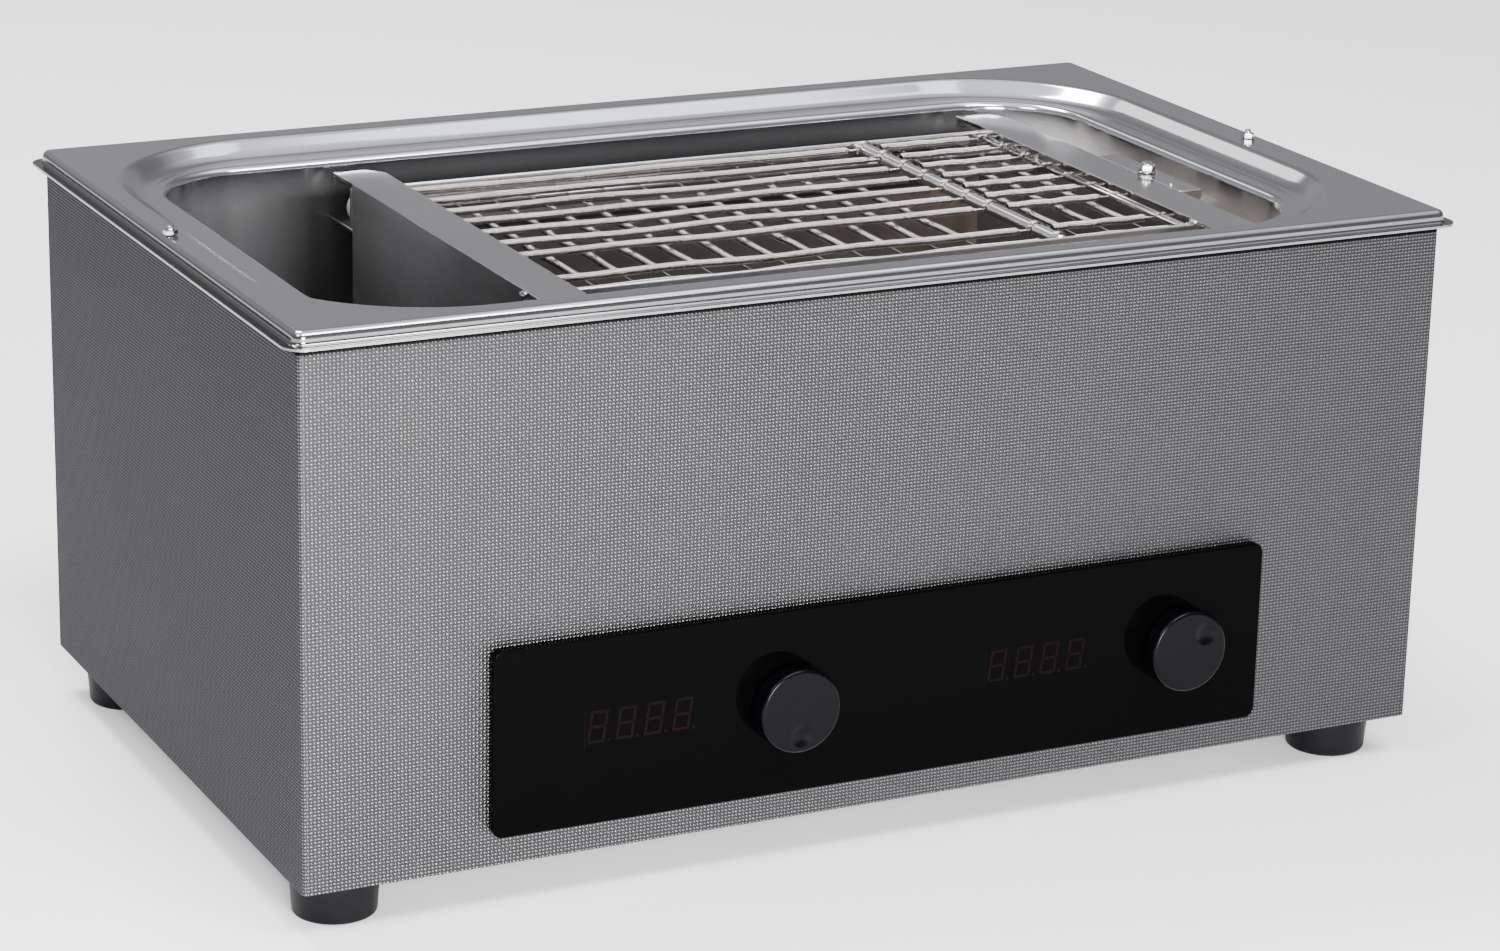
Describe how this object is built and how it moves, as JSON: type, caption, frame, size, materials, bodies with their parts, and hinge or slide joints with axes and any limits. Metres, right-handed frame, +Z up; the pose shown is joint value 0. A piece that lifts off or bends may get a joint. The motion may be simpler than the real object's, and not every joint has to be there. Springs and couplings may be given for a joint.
{
  "type": "shaking water bath",
  "caption": "Bench-top shaking water bath: embossed steel casing, pressed tank, sprung flask carriage on rollers, crank drive, black control panel with displays and knobs.",
  "frame": {"origin": "middle of the footprint box, on the surface the feet stand on", "axes": "+X to the right seen from the front, +Y towards the back, +Z up"},
  "size_m": [0.539, 0.3454, 0.2581],
  "materials": {
    "embossed_steel": "embossed dash pattern, satin",
    "polished_steel": "bright polished",
    "plain_steel": "satin",
    "spring_steel": "drawn wire",
    "brass": "satin",
    "gloss_black": "glossy",
    "knob_black": "semi-gloss",
    "rubber": "matt",
    "display_lens": "dark tinted",
    "circuit_board": "solder mask",
    "heater_silicone": "matt",
    "white_nylon": "matt"
  },
  "bodies": {
    "housing": {"casing_wrap": "embossed_steel", "back_panel": "embossed_steel", "tank": "polished_steel", "roller_rail_front": "polished_steel", "roller_rail_back": "polished_steel", "base_plate": "plain_steel", "rim_stud_left": "plain_steel", "rim_stud_right": "plain_steel", "encoder_left": "plain_steel", "encoder_right": "plain_steel", "motor": "plain_steel", "motor_bracket": "plain_steel", "temperature_sensor": "plain_steel", "control_panel": "gloss_black", "power_inlet": "gloss_black", "foot_front_left": "rubber", "foot_front_right": "rubber", "foot_back_left": "rubber", "foot_back_right": "rubber", "display_left": "display_lens", "display_right": "display_lens", "control_board": "circuit_board", "heater_pad": "heater_silicone", "board_spacer_1": "white_nylon", "board_spacer_2": "white_nylon", "board_spacer_3": "white_nylon", "board_spacer_4": "white_nylon", "rod_bush": "white_nylon"},
    "carriage": {"left_end_panel": "polished_steel", "right_end_panel": "polished_steel", "front_rail": "polished_steel", "back_rail": "polished_steel", "tray_floor": "polished_steel", "cross_bar": "polished_steel", "drive_rod": "plain_steel", "drive_bolt": "plain_steel", "drive_yoke": "plain_steel", "upper_spring_1": "spring_steel", "upper_spring_2": "spring_steel", "upper_spring_4": "spring_steel", "upper_spring_5": "spring_steel", "upper_spring_6": "spring_steel", "upper_spring_7": "spring_steel", "upper_spring_8": "spring_steel", "upper_spring_9": "spring_steel", "upper_spring_10": "spring_steel", "right_springs": "spring_steel", "lower_springs": "spring_steel"},
    "left_knob_body": {"left_knob": "knob_black", "encoder_shaft_left": "brass"},
    "right_knob_body": {"right_knob": "knob_black", "encoder_shaft_right": "brass"},
    "rocker_body": {"rocker": "knob_black"},
    "crank": {"crank_disc": "plain_steel", "crank_pin": "plain_steel", "motor_shaft": "plain_steel"},
    "wheel_front_left": {"roller_front_left": "white_nylon"},
    "wheel_front_right": {"roller_front_right": "white_nylon"},
    "wheel_back_left": {"roller_back_left": "white_nylon"},
    "wheel_back_right": {"roller_back_right": "white_nylon"}
  },
  "joints": [
    {"name": "carriage_slide", "type": "slide", "parent": "housing", "child": "carriage", "axis": [1, 0, 0], "range_m": [-0.01, 0.01]},
    {"name": "left_knob_turn", "type": "hinge", "parent": "housing", "child": "left_knob_body", "pos_m": [-0.0513, -0.1596, 0.074], "axis": [0, 1, 0], "continuous": true},
    {"name": "right_knob_turn", "type": "hinge", "parent": "housing", "child": "right_knob_body", "pos_m": [0.1357, -0.1596, 0.074], "axis": [0, 1, 0], "continuous": true},
    {"name": "rocker_turn", "type": "hinge", "parent": "housing", "child": "rocker_body", "pos_m": [0.134, 0.165, 0.065], "axis": [1, 0, 0], "range_deg": [-14, 0]},
    {"name": "crank_turn", "type": "hinge", "parent": "housing", "child": "crank", "pos_m": [0.167, -0.0083, 0.0715], "axis": [0, 0, 1], "range_deg": [-92, 92]},
    {"name": "wheel_front_left_turn", "type": "hinge", "parent": "carriage", "child": "wheel_front_left", "pos_m": [-0.1335, -0.0991, 0.2291], "axis": [0, 1, 0], "range_deg": [-75, 75]},
    {"name": "wheel_front_right_turn", "type": "hinge", "parent": "carriage", "child": "wheel_front_right", "pos_m": [0.1885, -0.0991, 0.2291], "axis": [0, 1, 0], "range_deg": [-75, 75]},
    {"name": "wheel_back_left_turn", "type": "hinge", "parent": "carriage", "child": "wheel_back_left", "pos_m": [-0.1335, 0.1085, 0.2291], "axis": [0, 1, 0], "range_deg": [-75, 75]},
    {"name": "wheel_back_right_turn", "type": "hinge", "parent": "carriage", "child": "wheel_back_right", "pos_m": [0.1885, 0.1085, 0.2291], "axis": [0, 1, 0], "range_deg": [-75, 75]}
  ],
  "couplings": [
    {"joint": "crank_turn", "follows": "carriage_slide", "rad_per_m": -157.08},
    {"joint": "wheel_front_left_turn", "follows": "carriage_slide", "rad_per_m": 125},
    {"joint": "wheel_front_right_turn", "follows": "carriage_slide", "rad_per_m": 125},
    {"joint": "wheel_back_left_turn", "follows": "carriage_slide", "rad_per_m": 125},
    {"joint": "wheel_back_right_turn", "follows": "carriage_slide", "rad_per_m": 125}
  ]
}
